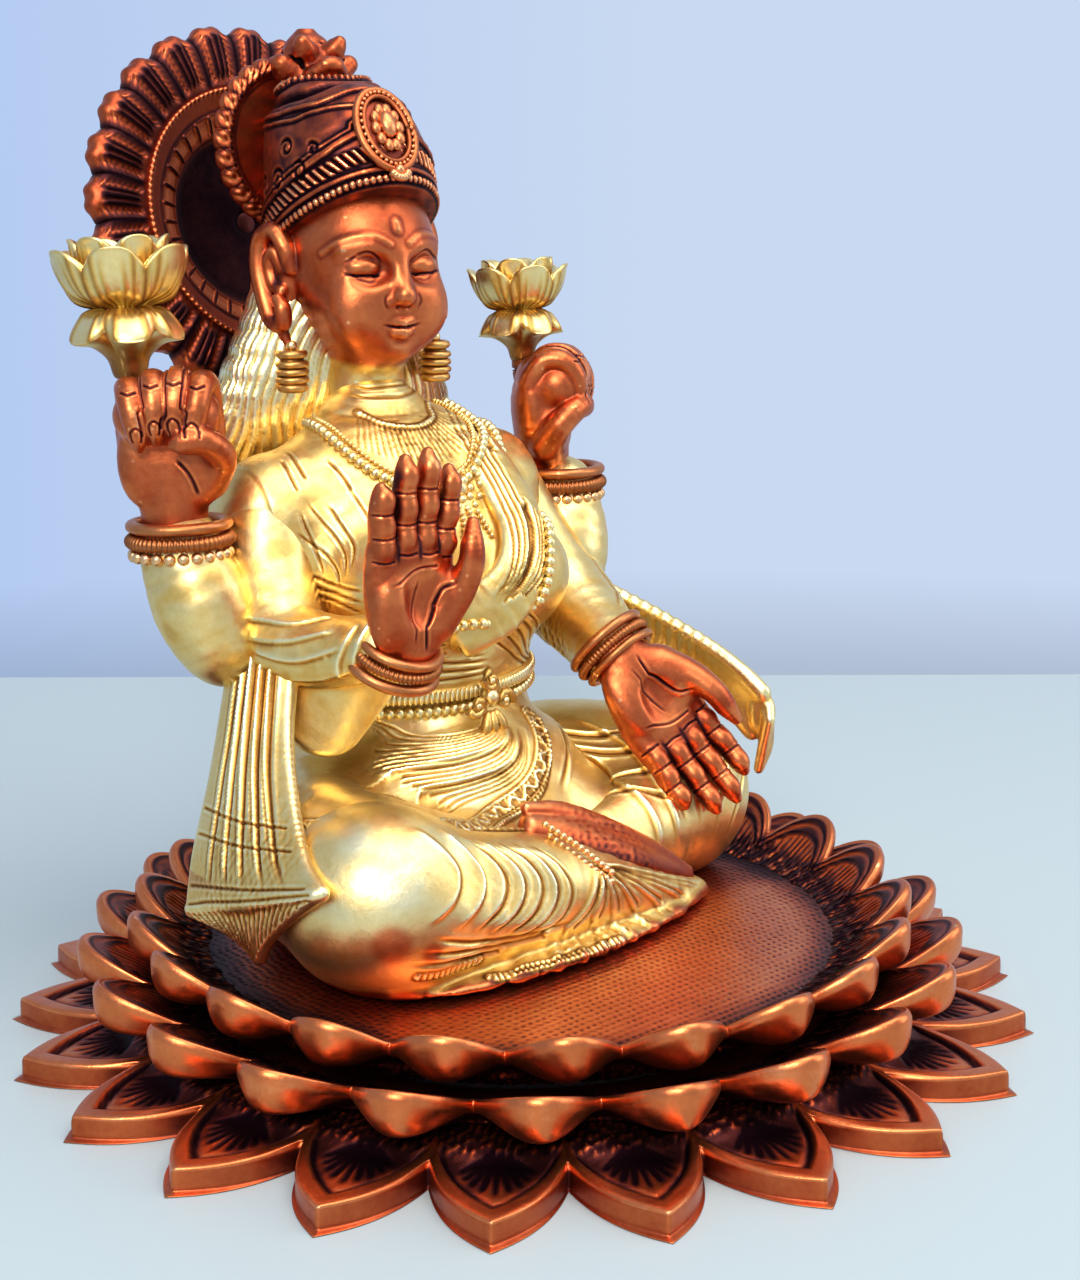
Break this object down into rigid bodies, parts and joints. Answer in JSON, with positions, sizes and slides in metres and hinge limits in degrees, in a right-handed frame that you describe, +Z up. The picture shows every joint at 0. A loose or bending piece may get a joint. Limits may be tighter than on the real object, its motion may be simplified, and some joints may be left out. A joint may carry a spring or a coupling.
{
  "type": "seated deity statue",
  "caption": "Table statue of a seated four-armed goddess on a tiered lotus base, brazed and screwed brass castings in gold and copper tones.",
  "frame": {"origin": "middle of the lotus base, on the surface that it stands on", "axes": "+Z up, -Y the way the figure faces, +X towards the figure's left"},
  "size_m": [0.2794, 0.279, 0.2681],
  "materials": {
    "polished_brass": "polished, dark in recesses",
    "copper_patina": "copper-brown patina, worn bright on edges",
    "steel_fixing": "plain"
  },
  "bodies": {
    "root": {"belt": "polished_brass", "belt_clasp": "polished_brass", "crown": "copper_patina", "crown_disc": "copper_patina", "crown_finial": "copper_patina", "crown_medallion": "copper_patina", "garland": "polished_brass", "hair": "polished_brass", "halo_bracket": "copper_patina", "halo_feather_fan": "copper_patina", "halo_inner_ring": "copper_patina", "halo_screw": "steel_fixing", "head": "copper_patina", "hips": "polished_brass", "left_earring": "polished_brass", "left_front_arm": "polished_brass", "left_front_bangles": "copper_patina", "left_front_hand": "copper_patina", "left_leg": "polished_brass", "left_rear_arm": "polished_brass", "left_rear_bangles": "copper_patina", "left_rear_forearm": "polished_brass", "left_rear_hand": "copper_patina", "left_rear_lotus": "polished_brass", "left_shawl": "polished_brass", "lotus_base_plate": "copper_patina", "lotus_middle_petals": "copper_patina", "lotus_seat_dish": "copper_patina", "necklace": "polished_brass", "pendant": "polished_brass", "right_earring": "polished_brass", "right_foot": "copper_patina", "right_front_bangles": "copper_patina", "right_front_forearm": "polished_brass", "right_front_hand": "copper_patina", "right_leg": "polished_brass", "right_rear_arm": "polished_brass", "right_rear_bangles": "copper_patina", "right_rear_forearm": "polished_brass", "right_rear_hand": "copper_patina", "right_rear_lotus": "polished_brass", "right_shawl": "polished_brass", "seat_screw_left": "steel_fixing", "seat_screw_right": "steel_fixing", "seat_washer_left": "steel_fixing", "seat_washer_right": "steel_fixing", "torso": "polished_brass"}
  },
  "joints": []
}
